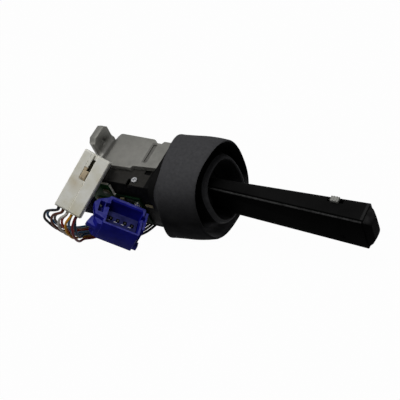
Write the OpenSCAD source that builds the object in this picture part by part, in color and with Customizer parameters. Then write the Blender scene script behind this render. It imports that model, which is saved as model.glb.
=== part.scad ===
// Indicator stalk switch: a column lever with its rubber boot, switch housing, cast bracket and plugs.
// The origin is the centre of the bracket's fixing hole. +X runs along the lever to its tip, and +Z is
// the bracket plate's normal. Most modules are drawn from the lever's pivot, where the turn and flash
// axes cross, and at_pivot() carries them to their place.

/* [Placement] */
// Distance along X from the fixing hole to the lever pivot
pivot_x = 81; // [76:0.5:90]
// Distance along Y from the fixing hole to the lever pivot
pivot_y = -10.5; // [-13:0.5:-8]
// Distance along Z from the fixing hole to the lever pivot
pivot_z = -22.5; // [-24:0.5:-21]

/* [Lever] */
// Distance from the pivot to the open end of the lever's shell
lever_reach = 138; // [110:1:170]
// Width of the lever at the pivot
root_w = 9.4; // [9:0.2:12]
// Height of the lever at the pivot
root_h = 25; // [22:0.2:26]
// Width of the lever at its open end
tip_w = 18; // [15:0.5:21]
// Height of the lever at its open end
tip_h = 29.6; // [26:0.2:34]
// Radius of the lever's long edges
lever_edge_r = 2; // [1.2:0.1:3]
// Wall of the lever's shell
shell_t = 1.8; // [1.2:0.1:2.4]
// Depth of the near cover, measured from the near face
cover_depth = 2.6; // [2:0.1:4]
// Radius of the dome that turns in the boot's throat
dome_r = 18; // [17:0.5:18.5]
// Wall of the dome
dome_t = 2; // [1.5:0.1:2.5]
// Angle that the lever points down at rest
droop = 0.8; // [0:0.1:2]

/* [Controls] */
// Travel of the end button
button_travel = 3; // [1:0.5:4]
// How far the end button stands out of the shell
button_proud = 4.5; // [3.5:0.5:7]
// Length of the slide knob along the lever
knob_l = 6; // [5:0.5:9]
// Height of the slide knob above the lever's top face
knob_h = 2.6; // [1.5:0.1:4]
// Distance from the shell's open end to the middle of the slide knob
knob_back = 24; // [20:1:40]
// Travel of the slide knob each way
knob_travel = 2.5; // [1:0.5:4]

/* [Boot] */
// Distance from the pivot to the boot's front rim
boot_front = 24.4; // [22:0.2:28]
// Distance from the pivot back to the boot's rear face
boot_back = 14; // [12.5:0.5:15]
// Half width of the front rim
rim_a = 31; // [30:0.5:36]
// Half height of the front rim
rim_b = 38.4; // [36:0.2:42]
// Thickness of the rubber
boot_t = 2.2; // [1.6:0.1:2.6]

/* [Housing] */
// Distance from the pivot back to the housing's rear wall
housing_back = 61; // [58:1:75]
// Distance from the pivot to the housing's near side
housing_near = 20.5; // [19:0.5:22]
// Distance from the pivot to the housing's far side
housing_far = 17.5; // [16.5:0.5:20]
// Height of the housing's top over the pivot
housing_top = 19.5; // [18.5:0.5:20]
// Depth of the housing's bottom cover under the pivot
housing_low = 28; // [26:0.5:34]
// Wall of the housing
housing_t = 2.5; // [2:0.1:3]
// Half width of the neck that carries the boot
neck_a = 24.5; // [24.3:0.1:25.5]
// Half height of the neck that carries the boot
neck_b = 22.5; // [22:0.5:24]

/* [Turn yoke] */
// Radius of the turn pivot pins
trunnion_r = 2.5; // [2:0.1:3]
// Radius of the flash pivot pin
flash_pin_r = 2; // [1.6:0.1:2.4]
// Turn angle from the middle to each indicating position
turn_angle = 9; // [6:1:10]
// Radius of the detent plunger
plunger_r = 2.5; // [2:0.1:2.8]
// Distance from the pivot to the plunger's nose
plunger_reach = 37; // [35:0.5:38]

/* [Bracket] */
// Thickness of the bracket's plate
plate_t = 4; // [3:0.5:5]
// Thickness of the lug that holds the fixing hole
lug_t = 5.5; // [4:0.5:7]
// Radius of the fixing hole
fixing_r = 2.75; // [2.2:0.05:3.5]
// Radius of the holes for the two bracket screws
bracket_hole_r = 2.1; // [2.05:0.05:2.4]

/* [Plugs] */
// Length of the white plug
white_l = 46; // [40:1:54]
// Width of the white plug
white_w = 21; // [20:0.5:26]
// Thickness of the white plug
white_t = 11; // [10:0.5:12]
// Width of the blue socket's shroud
blue_w = 28; // [26:0.5:32]
// Depth of the blue socket's shroud front to back
blue_d = 26; // [24:0.5:27]
// Height of the blue socket's shroud
blue_h = 19.5; // [17:0.5:22]
// Pitch of the blue socket's contacts
blue_pitch = 5.5; // [5:0.1:6]
// Diameter of each lead
lead_d = 1.9; // [1.2:0.1:2]

/* [Hidden] */
run = 0.04;
gap = 0.3;
seat = 0.1;
round_fn = 48;
small_fn = 28;
leads_in_row = 5;
white_rows = 2;
blue_leads = 4;

// Outlines and sweeps

function sign_power(v, n) = sign(v) * pow(abs(v), 2 / n);

// A closed outline between an ellipse, where n is 2, and a rectangle, as n grows.
function oval(a, b, n, count) =
    [for (i = [0 : count - 1]) let (t = 360 * i / count) [a * sign_power(cos(t), n), b * sign_power(sin(t), n)]];

// A rectangle with round corners, as a list of points around its middle.
function round_rect(w, h, r, steps = 4) =
    [for (corner = [0 : 3], i = [0 : steps])
        let (t = 90 * (corner + i / steps),
             sx = (corner == 0 || corner == 3) ? 1 : -1,
             sy = corner < 2 ? 1 : -1)
        [sx * (w / 2 - r) + r * cos(t), sy * (h / 2 - r) + r * sin(t)]];

// A solid of revolution's cousin: it joins a closed loop of oval sections across X.
// Each section is [x, a, b, n, y, z, lean_y, lean_z]. The two leans tilt it out of square to X.
module ring_loft(sections, count) {
    points = [for (s = sections, p = oval(s[1], s[2], s[3], count))
        [s[0] + s[6] * p[0] + s[7] * p[1], s[4] + p[0], s[5] + p[1]]];
    faces = [for (k = [0 : len(sections) - 1], i = [0 : count - 1])
        let (j = (i + 1) % count, m = (k + 1) % len(sections))
        [k * count + i, m * count + i, m * count + j, k * count + j]];
    polyhedron(points, faces, convexity = 6);
}

function unit(v) = v / norm(v);
function tangent(p, i) = unit(p[min(i + 1, len(p) - 1)] - p[max(i - 1, 0)]);
function upright(t) = abs(t[2]) < 0.9 ? [0, 0, 1] : [1, 0, 0];
function carried(u, t) = unit(u - (u * t) * t);
function sides(p, i, u) = i >= len(p) ? [] :
    let (w = carried(u, tangent(p, i))) concat([w], sides(p, i + 1, w));

// A round tube along a route, with flat ends.
module tube_along(p, d, count = 8) {
    u = sides(p, 0, upright(tangent(p, 0)));
    points = [for (i = [0 : len(p) - 1], k = [0 : count - 1])
        let (a = 360 * k / count, v = cross(tangent(p, i), u[i]))
        p[i] + d / 2 * (cos(a) * u[i] + sin(a) * v)];
    walls = [for (i = [0 : len(p) - 2], k = [0 : count - 1])
        let (j = (k + 1) % count)
        [i * count + k, (i + 1) * count + k, (i + 1) * count + j, i * count + j]];
    start = [for (k = [0 : count - 1]) k];
    end = [for (k = [count - 1 : -1 : 0]) (len(p) - 1) * count + k];
    polyhedron(points, concat(walls, [start, end]), convexity = 6);
}

// A coil spring along Z, standing on z = 0, with a whole number of points in each turn.
module coil(r, wire, length, turns, steps = 12) {
    rise = length - wire;
    tube_along([for (i = [0 : turns * steps])
        [r * cos(360 * i / steps), r * sin(360 * i / steps), wire / 2 + rise * i / (turns * steps)]], wire, 6);
}

module at_pivot() translate([pivot_x, pivot_y, pivot_z]) children();
module at_lever() at_pivot() rotate([0, droop, 0]) children();
module along_x() rotate([90, 0, 90]) children();
module along_y() rotate([90, 0, 0]) children();

// A straight block of an outline drawn in Y and Z, from x0 to x1.
module bar_x(x0, x1) translate([x0, 0, 0]) along_x() linear_extrude(x1 - x0) children();

module rod_x(x0, x1, r, y = 0, z = 0, fn = round_fn)
    translate([x0, y, z]) rotate([0, 90, 0]) cylinder(r = r, h = x1 - x0, $fn = fn);
module rod_y(y0, y1, r, x = 0, z = 0, fn = round_fn)
    translate([x, y1, z]) rotate([90, 0, 0]) cylinder(r = r, h = y1 - y0, $fn = fn);
module rod_z(z0, z1, r, x = 0, y = 0, fn = round_fn)
    translate([x, y, z0]) cylinder(r = r, h = z1 - z0, $fn = fn);
module box(low, high) translate(low) cube(high - low);

// Cast bracket

plate_under = housing_top + gap / 3;
plate_top = plate_under + plate_t;
bracket_far = 20.5;
bracket_end = 21.5;
lug_back = pivot_x + lug_t / 2;
lug_front = lug_back - lug_t;
lug_near = 2.5;
lug_low = 12;
lug_top = 32;
lug_chamfer = 3;
valley_x = lug_front - 7.25;
flange_t = 3;
flange_low = -21;
bracket_screw_x = [-49, -31];
bracket_screw_z = -16;
bracket_boss_r = 4;
groove_x = -34.8;
groove_w = 3.2;
groove_deep = 0.8;

// Plan of the plate, with the two notches in its far edge and the step in its near edge.
module bracket_plan() polygon([
    [-lug_back, lug_near], [-lug_back, bracket_far], [-76.5, bracket_far], [-75, bracket_far - 2.8],
    [-73.5, bracket_far - 2.8], [-72, bracket_far], [-37, bracket_far], [-35.5, bracket_far - 0.6],
    [-31.2, bracket_far - 4], [-29.6, bracket_far - 4], [-28, bracket_far - 0.8], [-26.5, bracket_far - 0.5],
    [-bracket_end, bracket_far - 0.5], [-bracket_end, -4.6], [-41.2, -6.4], [-42.2, -8.4], [-59, -9.6],
    [-61.5, -8.8]]);

// Side view of the plate, its dip and the lug.
module bracket_side() {
    dip = 6;
    steps = 8;
    slope = [for (i = [0 : steps]) let (t = i / steps)
        [-valley_x + 6 - (lug_front - 3 - valley_x + 6) * t, plate_top - dip * (1 - cos(180 * t)) / 2]];
    fillet = [for (i = [1 : steps]) let (t = 90 * i / steps)
        [-lug_front + 3 - 3 * sin(t), plate_top - dip + 3 - 3 * cos(t)]];
    polygon(concat([[-bracket_end, plate_under], [-bracket_end, plate_top]], slope, fillet,
        [[-lug_front, lug_top], [-lug_back, lug_top], [-lug_back, lug_low], [-lug_front, lug_low],
         [-valley_x - 2.5, plate_under - dip], [-valley_x + 5, plate_under]]));
}

module mounting_bracket() at_pivot() color("silver") difference() {
    intersection() {
        translate([0, bracket_far, 0]) along_y() linear_extrude(bracket_far + 10) bracket_side();
        linear_extrude(lug_top) bracket_plan();
    }
    rod_x(-lug_back - 1, -lug_front + 1, fixing_r, -pivot_y, -pivot_z);
    // The lug's two chamfered corners
    for (side = [0, 1])
        translate([-lug_back - 1, side ? bracket_far : lug_near, lug_top])
            rotate([45, 0, 0]) translate([0, -lug_chamfer * 0.72, -lug_chamfer * 0.72])
                cube([lug_t + 2, lug_chamfer * 1.44, lug_chamfer * 1.44]);
    // The pressed groove across the plate
    translate([groove_x, -1, plate_top - groove_deep]) cube([groove_w, bracket_far - 4, groove_deep + 1]);
}

// The flange hangs from the plate's far edge, flat on the housing's far side
module bracket_flange() at_pivot() color("silver") difference() {
    translate([-56, bracket_far - flange_t, flange_low]) cube([56 - 27, flange_t, plate_under - flange_low]);
    for (x = bracket_screw_x) rod_y(bracket_far - flange_t - 1, bracket_far + 1, bracket_hole_r, x, bracket_screw_z);
    // Its lower corners
    for (x = [-56, -27]) translate([x, bracket_far, flange_low]) rotate([0, 45, 0]) cube([6, 20, 6], center = true);
}

bracket_screw_r = bracket_hole_r - 0.15;
bracket_screw_l = 11;

module bracket_screws() at_pivot() color("gainsboro")
    for (x = bracket_screw_x) difference() {
        union() {
            rod_y(bracket_far - bracket_screw_l, bracket_far, bracket_screw_r, x, bracket_screw_z, small_fn);
            rod_y(bracket_far, bracket_far + 2.2, 3.6, x, bracket_screw_z, small_fn);
        }
        // A cross recess
        for (turn = [0, 90]) translate([x, bracket_far + 2.2, bracket_screw_z]) rotate([0, turn, 0])
            cube([3.6, 2.4, 0.8], center = true);
    }

// Switch housing

neck_n = 4;
neck_count = 40;
flange_back = bracket_end - gap;
flange_front = 16;
neck_front = 8;
neck_in_a = 21.1;
neck_in_b = 20;
cheek_r = 6;
cheek_out = neck_a;
cover_t = 2.5;
boss_r = 3.4;
pilot_r = 1.2;
cover_screw_at = [
    [-housing_back + housing_t + 1.6, -housing_near + housing_t + 1.6],
    [-housing_back + housing_t + 1.6, housing_far - housing_t - 1.6],
    [-27, -housing_near + housing_t + 1.6], [-27, housing_far - housing_t - 1.6]];
ledge_screw = [-35.5, -16.2];

module housing_block(z0, z1)
    translate([-(housing_back + flange_back) / 2, (housing_far - housing_near) / 2, z0])
        linear_extrude(z1 - z0)
            polygon(round_rect(housing_back - flange_back, housing_far + housing_near, 2));

module housing_body() at_pivot() color("#1c1c1e") difference() {
    union() {
        difference() {
            housing_block(-housing_low + cover_t, housing_top);
            box([-housing_back + housing_t, -housing_near + housing_t, -housing_low],
                [-flange_back + 1, housing_far - housing_t, housing_top - housing_t]);
        }
        for (p = cover_screw_at) rod_z(-housing_low + cover_t, -housing_low + 12, boss_r, p[0], p[1], small_fn);
        for (x = bracket_screw_x) rod_y(housing_far - 9, housing_far - 1, bracket_boss_r, x, bracket_screw_z, small_fn);
        rod_z(housing_top - 9, housing_top - 1, 3, ledge_screw[0], ledge_screw[1], small_fn);
        // Flange and neck
        bar_x(-flange_back, -flange_front) polygon(oval(neck_a, neck_b + 1.5, neck_n, neck_count));
        bar_x(-flange_front, -neck_front) polygon(oval(neck_a, neck_b, neck_n, neck_count));
        // Cheeks for the turn pivot
        for (side = [-1, 1]) {
            box([-neck_front - 1, side > 0 ? neck_in_a : -cheek_out, -cheek_r],
                [0, side > 0 ? cheek_out : -neck_in_a, cheek_r]);
            rod_y(side > 0 ? neck_in_a : -cheek_out, side > 0 ? cheek_out : -neck_in_a, cheek_r);
        }
        // Stiffening ribs on the near and far sides of the neck
        for (z = [-12, 12]) box([-flange_front, -neck_a + 0.9, z - 0.8], [-neck_front, neck_a - 0.9, z + 0.8]);
    }
    bar_x(-flange_back - 1, -neck_front + 0.01) polygon(oval(neck_in_a, neck_in_b, neck_n, neck_count));
    rod_y(-cheek_out - 1, cheek_out + 1, trunnion_r + run);
    for (p = cover_screw_at) rod_z(-housing_low, -housing_low + 11, pilot_r, p[0], p[1], small_fn);
    for (x = bracket_screw_x) rod_y(housing_far - 8.7, housing_far + 1, bracket_screw_r + 0.05, x, bracket_screw_z, small_fn);
    rod_z(housing_top - 8, housing_top + 1, pilot_r, ledge_screw[0], ledge_screw[1], small_fn);
    // Recess in the top ledge, beside the boot
    box([-31.5, -9, housing_top - 1.2], [-26, -5.2, housing_top + 1]);
    // Notch beside the ledge screw
    box([-41.5, -housing_near - 1, housing_top - 3], [-38.5, -15.2, housing_top + 1]);
}

module housing_cover() at_pivot() color("#232325") difference() {
    union() {
        housing_block(-housing_low, -housing_low + cover_t);
        // Locating rim inside the walls
        difference() {
            box([-housing_back + housing_t + 6, -housing_near + housing_t + seat, -housing_low + cover_t - 0.5],
                [-32, housing_far - housing_t - seat, -housing_low + cover_t + 1.5]);
            box([-housing_back + housing_t + 7.5, -housing_near + housing_t + 1.6, -housing_low],
                [-33.5, housing_far - housing_t - 1.6, -housing_low + cover_t + 3]);
        }
    }
    for (p = cover_screw_at) {
        rod_z(-housing_low - 1, 0, pilot_r + 0.3, p[0], p[1], small_fn);
        rod_z(-housing_low - 1, -housing_low + 1.3, 2.6, p[0], p[1], small_fn);
    }
}

module cover_screws() at_pivot() color("gainsboro")
    for (p = cover_screw_at) difference() {
        union() {
            rod_z(-housing_low + 1.3, -housing_low + 10, pilot_r - 0.05, p[0], p[1], small_fn);
            rod_z(-housing_low + 0.1, -housing_low + 1.3, 2.4, p[0], p[1], small_fn);
        }
        translate([p[0], p[1], -housing_low]) cube([3, 0.7, 1], center = true);
        translate([p[0], p[1], -housing_low]) cube([0.7, 3, 1], center = true);
    }

module housing_screw() at_pivot() color("white") difference() {
    union() {
        rod_z(housing_top - 7, housing_top, pilot_r - 0.05, ledge_screw[0], ledge_screw[1], small_fn);
        rod_z(housing_top, housing_top + 1.5, 2.2, ledge_screw[0], ledge_screw[1], small_fn);
    }
    translate([ledge_screw[0], ledge_screw[1], housing_top + 1.5]) cube([2.8, 0.7, 1.2], center = true);
    translate([ledge_screw[0], ledge_screw[1], housing_top + 1.5]) cube([0.7, 2.8, 1.2], center = true);
}

// Circuit board on the housing's near side

board_t = 1.6;
board_face = -housing_near - board_t;
board_left = -80;
board_top = 16;
board_low = -24;
board_step_x = -57;
board_step_z = 5;
board_right = -34;
board_screw_at = [[-52, -17], [-38, -1]];

module circuit_board() at_pivot() color("#1f5a33") difference() {
    translate([0, -housing_near, 0]) along_y() linear_extrude(board_t) polygon([
        [board_left, board_low], [board_right, board_low], [board_right, board_step_z],
        [board_step_x, board_step_z], [board_step_x, board_top - 1.5], [board_step_x - 1.5, board_top],
        [board_left, board_top]]);
    for (p = board_screw_at) rod_y(board_face - 1, -housing_near + 1, 1.3, p[0], p[1], small_fn);
}

// Small parts soldered to the board's near face: [x, z, length, height, stand-off].
board_blocks = [[-50, 2, 3.4, 3, 1.5], [-44, -6, 6, 2.4, 1.3], [-62, 8, 4.6, 3.2, 1.5], [-72, -5, 8, 5, 1.6],
                [-61, -12, 3.2, 1.8, 1.2], [-41, -14, 5, 4, 1.5]];

module board_parts() at_pivot() color("#cfc3a4") {
    for (b = board_blocks)
        box([b[0] - b[2] / 2, board_face - b[4], b[1] - b[3] / 2], [b[0] + b[2] / 2, board_face, b[1] + b[3] / 2]);
    for (i = [0 : 4]) rod_y(board_face - 0.7, board_face, 0.9, -77 + 3 * i, -12.5, small_fn);
}

module board_screws() at_pivot() color("gainsboro")
    for (p = board_screw_at) {
        rod_y(board_face, -housing_near, 1.2, p[0], p[1], small_fn);
        rod_y(board_face - 1.3, board_face, 2.2, p[0], p[1], small_fn);
    }

// Contacts inside the housing

contact_wall = -housing_near + housing_t;
contact_plate_t = 1.6;
strip_t = 0.4;
strip_face = contact_wall + contact_plate_t + strip_t;
wiper_y = strip_face + gap;
contact_back = housing_back - housing_t - 2.5;
contact_front = 37;

module contact_plate() at_pivot() color("#8a5a2b")
    box([-contact_back, contact_wall, -15], [8 - contact_front, contact_wall + contact_plate_t, 9]);

module contact_strips() at_pivot() color("goldenrod")
    for (z = [-11, -3, 5]) translate([2 - contact_back, contact_wall + contact_plate_t, z - 2])
        cube([contact_back - contact_front + 5, strip_t, 4]);

cam_near = 5;
cam_r = plunger_reach + gap;
cam_back = cam_r + 8.7;
cam_half = -bracket_screw_z - bracket_boss_r - 0.9;

// Detent cam: an arc about the turn pivot with a notch for each lever position.
module detent_cam() at_lever() color("ivory") difference() {
    box([-cam_back, cam_near, -cam_half], [-cam_r + 4, housing_far - housing_t, cam_half]);
    rod_y(cam_near - 1, housing_far, cam_r);
    for (turn = [-turn_angle, 0, turn_angle]) rotate([0, turn, 0])
        translate([-cam_r - 0.2, 0, 0]) rod_y(cam_near - 1, housing_far, plunger_r - 0.2, fn = small_fn);
}

// Boot and the ring that clamps it on the neck

boot_lip_gap = 0.1;
clamp_w = 2.4;
clamp_front = boot_back - boot_t - seat;
boot_count = 44;

module boot_clamp_ring() at_pivot() color("#2a2a2c") difference() {
    bar_x(-clamp_front, -clamp_front + clamp_w) polygon(oval(neck_a + 2, neck_b + 2, neck_n, neck_count));
    bar_x(-clamp_front - 1, -clamp_front + clamp_w + 1)
        polygon(oval(neck_a + boot_lip_gap, neck_b + boot_lip_gap, neck_n, neck_count));
}

throat_x = 7;
throat_r = sqrt(pow(dome_r, 2) - pow(throat_x, 2)) + gap;
throat_back_r = sqrt(pow(dome_r, 2) - pow(throat_x - 2, 2)) + gap;
crest_y = 4.3;
crest_z = 1;
crest_a = 20.4;
crest_b = 23.8;
crest_lean = -0.1;

boot_flat = 3.7;
back_ring = [-boot_back + 0.4, rim_a + 1.4, rim_b + 1.2, 2.63, -2, 1.7, -0.15, 0.175];
front_ring = [boot_front - 1, rim_a + 0.2, rim_b + 0.1, 2.5, 1.6, 3.2, 0.085, 0.04];
seam_ring = [boot_front - 11.4, rim_a - 5.4, rim_b - 7.2, 2.5, 2.4, 2.9, 0.06, -0.03];
seam_behind = seam_ring - [boot_t, 0, 0, 0, 0, 0, 0, 0];

// A section part of the way along the barrel, grown or shrunk by an amount.
function barrel(t, grown) = back_ring + (front_ring - back_ring) * t + [0, grown, grown, 0, 0, 0, 0, 0];
function neck_section(x, grown, n = neck_n) = [x, neck_a + grown, neck_b + grown, n, 0, 0, 0, 0];

// The boot's outer half as one closed loop: clamp lip, leaning barrel, front rim, valley and inside.
module rubber_boot() at_pivot() color("#343436") ring_loft([
    neck_section(-boot_back, boot_lip_gap),
    neck_section(-boot_back, boot_flat, 3.6),
    [-boot_back - 0.8, rim_a - 0.4, rim_b - 0.6, 2.63, -2, 1.7, -0.15, 0.175],
    barrel(0, 0),
    barrel(0.12, 0.1),
    barrel(0.35, 0.4),
    barrel(0.6, 0.8),
    barrel(0.82, 0.6),
    barrel(1, 0),
    [boot_front, rim_a - 0.5, rim_b - 0.5, 2.5, 1.6, 3.2, 0.085, 0.04],
    [boot_front - 0.3, rim_a - 1.3, rim_b - 1.3, 2.5, 1.6, 3.2, 0.085, 0.04],
    [boot_front - 4, rim_a - 2.6, rim_b - 3.2, 2.5, 1.7, 3.2, 0.08, 0.03],
    [boot_front - 9.4, rim_a - 3.8, rim_b - 5, 2.5, 1.9, 3.1, 0.07, 0],
    seam_ring,
    seam_behind,
    barrel(0.72, 0.7 - boot_t),
    barrel(0.5, 0.7 - boot_t),
    barrel(0.3, 0.3 - boot_t),
    [-boot_back + 4, rim_a - 2, rim_b - 2.6, 2.63, -1.4, 1.6, -0.06, 0.1],
    neck_section(-boot_back + boot_t, boot_flat - 1, 3.6),
    neck_section(-boot_back + boot_t, boot_lip_gap)], boot_count);

// The cuff inside it, from the valley over the raised ring and down the funnel to the throat.
module boot_cuff() at_pivot() color("#2e2e30") ring_loft([
    seam_ring,
    [boot_front - 9.4, crest_a + 3.2, crest_b + 4.2, 2.6, crest_y - 0.9, crest_z + 1.2, 0.05, -0.06],
    [boot_front - 2, crest_a + 1.6, crest_b + 1.8, 2.5, crest_y - 0.1, crest_z + 0.2, 0.03, crest_lean],
    [boot_front + 0.6, crest_a + 0.4, crest_b + 0.4, 2.45, crest_y, crest_z, 0.03, crest_lean],
    [boot_front + 0.8, crest_a - 0.4, crest_b - 0.4, 2.45, crest_y, crest_z, 0.03, crest_lean],
    [boot_front, crest_a - 1.3, crest_b - 1.4, 2.45, crest_y - 0.1, crest_z, 0.03, crest_lean],
    [14, throat_r + 1.8, throat_r + 2.8, 2.4, crest_y * 0.42, crest_z / 2, 0, -0.04],
    [throat_x + 2, throat_r + 0.5, throat_r + 0.5, 2, 0.3, 0.2, 0, 0],
    [throat_x, throat_r, throat_r, 2, 0, 0, 0, 0],
    [throat_x - 2, throat_back_r, throat_back_r, 2, 0, 0, 0, 0],
    [throat_x - 1.4, throat_r + 2.6, throat_r + 2.6, 2, 0, 0, 0, 0],
    [12, throat_r + 4.4, throat_r + 5.6, 2.4, crest_y * 0.42, crest_z / 2, 0, -0.03],
    [boot_front - 10, crest_a + 1.2, crest_b + 1.6, 2.55, crest_y - 1, crest_z + 0.8, 0.04, -0.05],
    seam_behind], boot_count);

// Holders where the leads end: one on the board and one under the housing's cover

holder_t = 2;
holder_face = board_face - holder_t;
module lead_holder() at_pivot() color("#1c1c1e")
    translate([-66, board_face, -19.8]) along_y() linear_extrude(holder_t) polygon(round_rect(16, 7.2, 1));

clamp_face = -12;
clamp_h = 3.2;
module lower_lead_clamp() at_pivot() color("#1c1c1e")
    translate([-38.5, clamp_face + 4, -housing_low - clamp_h]) linear_extrude(clamp_h)
        polygon(round_rect(13.5, 8, 1.5));

// Turn yoke

yoke_w = 20.4;
arm_in = dome_r + gap;
web_back = 14;
web_front = 9;
hub_half = 7.8;
lug_in = hub_half + gap;
lug_out = lug_in + 3;
barrel_r = plunger_r + 2;
barrel_y = housing_far - housing_t - barrel_r - gap;
barrel_back = 30;
post_y = barrel_y - barrel_r;
spring_x = -18.5;

module turn_yoke() at_lever() color("#e8e4d4") difference() {
    union() {
        box([-web_back, -yoke_w, -7], [-web_front, yoke_w, 7]);
        box([-web_back, -8, -lug_out], [-web_front, 8, lug_out]);
        for (side = [-1, 1]) {
            box([-web_back, side > 0 ? arm_in : -yoke_w, -4.5], [0, side > 0 ? yoke_w : -arm_in, 4.5]);
            rod_y(side > 0 ? arm_in : -yoke_w, side > 0 ? yoke_w : -arm_in, 4.5);
            rod_y(side > 0 ? yoke_w - 1 : -cheek_out, side > 0 ? cheek_out : -yoke_w + 1, trunnion_r);
            // Lugs for the flash pin
            box([-web_front - 1, -5, side > 0 ? lug_in : -lug_out], [0, 5, side > 0 ? lug_out : -lug_in]);
            rod_z(side > 0 ? lug_in : -lug_out, side > 0 ? lug_out : -lug_in, 5);
        }
        rod_x(-barrel_back, -web_back + 1, barrel_r, barrel_y);
        box([-23, post_y, -3.5], [-web_back + 1, barrel_y, 3.5]);
        box([-23, -post_y - 2, -3.5], [-web_back + 1, -post_y, 3.5]);
        // Arm that carries the wiper
        box([-34, wiper_y + 1.4, -3.5], [-web_back + 1, wiper_y + 3.4, 3.5]);
    }
    // Window for the lever core's tail
    box([-web_back - 1, -5.4, -5.2], [-web_front + 1, 5.4, 5.2]);
    rod_z(-lug_out - 1, lug_out + 1, flash_pin_r + 0.02);
    rod_x(-barrel_back - 1, -web_back - 1.5, plunger_r + run, barrel_y);
}

module flash_pin() at_lever() color("lightgrey") rod_z(-lug_out, lug_out, flash_pin_r);

// A brass leaf on the yoke's arm, bowed towards the contact strips.
module turn_wiper() at_lever() color("gold") difference() {
    box([-33, wiper_y, -3], [-24, wiper_y + 1.4, 3]);
    rod_z(-4, 4, 1.6, -30.6, wiper_y + 1.8, small_fn);
    box([-26.6, wiper_y - 1, -4], [-23, wiper_y + 0.9, 4]);
}

plunger_tail = 19;
module plunger_spring() at_lever() color("lightgrey")
    translate([-plunger_tail, barrel_y, 0]) rotate([0, 90, 0]) coil(1.7, 0.5, plunger_tail - web_back - 1.6, 3);

module detent_plunger() at_lever() color("whitesmoke") {
    rod_x(-plunger_reach + plunger_r, -plunger_tail, plunger_r, barrel_y);
    translate([-plunger_reach + plunger_r, barrel_y, 0]) sphere(r = plunger_r, $fn = round_fn);
}

// Lever

function lever_w(x) = root_w + (tip_w - root_w) * x / lever_reach;
function lever_h(x) = root_h + (tip_h - root_h) * x / lever_reach;
lever_start = 11;
arm_w = 5;
arm_h = 9;
core_reach = lever_reach - 66;
rail_x = [lever_reach - 114, lever_reach - 94, lever_reach - 74];
tail_back = 21;

// The lever's outline at x, drawn inside its outer face by an inset.
module lever_slice(x, inset)
    bar_x(x, x + 0.02)
        polygon(round_rect(lever_w(x) - 2 * inset, lever_h(x) - 2 * inset, max(lever_edge_r - inset, 0.4)));

module lever_solid(x0, x1, inset) hull() {
    lever_slice(x0, inset);
    lever_slice(x1 - 0.02, inset);
}

// The side of the parting plane where the near cover lies.
module cover_side(extra)
    translate([0, 0, -40]) linear_extrude(80) polygon([
        [-1, -60], [lever_reach + 5, -60],
        [lever_reach + 5, -lever_w(lever_reach + 5) / 2 + cover_depth + extra],
        [-1, -lever_w(-1) / 2 + cover_depth + extra]]);

mouth_x = lever_reach - 5;
mouth_t = 1;
screw_x = lever_reach - 17;
screw_z = -5.6;
knob_x = lever_reach - knob_back;
knob_y = lever_w(knob_x) / 2 - 3.4;
knob_w = 4;
slot_l = knob_l + 2 * knob_travel + 1;

module lever_core() at_lever() color("#3a3a3c") difference() {
    union() {
        rod_z(-hub_half, hub_half, 5.5);
        box([0, -arm_w / 2, -arm_h / 2], [core_reach, arm_w / 2, arm_h / 2]);
        box([-tail_back, -2.5, -4], [0, 2.5, 4]);
        // Collar behind the dome's boss
        box([8, -4.5, -6.5], [10, 4.5, 6.5]);
    }
    rod_z(-hub_half - 1, hub_half + 1, flash_pin_r + run);
    rod_y(-arm_w, arm_w, 1.6, core_reach - 5);
}

// Half of a ball about the pivot, cut flat behind, as a solid of revolution about X.
module half_ball(r, back) rotate([0, 90, 0]) rotate_extrude($fn = 72) intersection() {
    circle(r = r, $fn = 72);
    translate([0, -back]) square([r + 1, r + 1 + back]);
}

module lever_dome() at_lever() color("#19191b") difference() {
    union() {
        difference() {
            half_ball(dome_r, 3);
            half_ball(dome_r - dome_t, 4);
        }
        rod_x(10 + seat, dome_r - dome_t, 7.8);
    }
    for (side = [-1, 1])
        box([-4, side > 0 ? 9 : -dome_r - 1, -dome_r - 1], [1.5, side > 0 ? dome_r + 1 : -9, dome_r + 1]);
    box([0, -arm_w / 2 - seat, -arm_h / 2 - seat], [dome_r + 1, arm_w / 2 + seat, arm_h / 2 + seat]);
}

module dome_seat() sphere(r = dome_r + 0.02, $fn = 72);

module lever_shell() at_lever() color("#161618") difference() {
    union() {
        difference() {
            lever_solid(lever_start, lever_reach, 0);
            lever_solid(lever_start - 1, lever_reach + 1, shell_t);
            // Step at the mouth, where the end button slides
            bar_x(mouth_x, lever_reach + 1)
                polygon(round_rect(lever_w(mouth_x) - 2 * mouth_t, lever_h(mouth_x) - 2 * mouth_t, 1.2));
        }
        // Screw boss, core clamp and guide rails
        rod_y(-lever_w(screw_x) / 2 + cover_depth, lever_w(screw_x) / 2 - 1, 2.4, screw_x, screw_z, small_fn);
        for (z = [-1, 1], x = rail_x)
            box([x, -lever_w(x) / 2 + cover_depth, z > 0 ? arm_h / 2 + seat : -lever_h(x) / 2 + 1],
                [x + 2, lever_w(x) / 2 - 1, z > 0 ? lever_h(x) / 2 - 1 : -arm_h / 2 - seat]);
    }
    cover_side(0);
    dome_seat();
    rod_y(-lever_w(screw_x), lever_w(screw_x) / 2 - 2.5, 0.95, screw_x, screw_z, small_fn);
    // Slot for the slide knob
    box([knob_x - slot_l / 2, knob_y - knob_w / 2 + 0.7, lever_h(knob_x) / 2 - 4],
        [knob_x + slot_l / 2, knob_y + knob_w / 2 - 0.7, lever_h(knob_x) / 2 + 2]);
}

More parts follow.
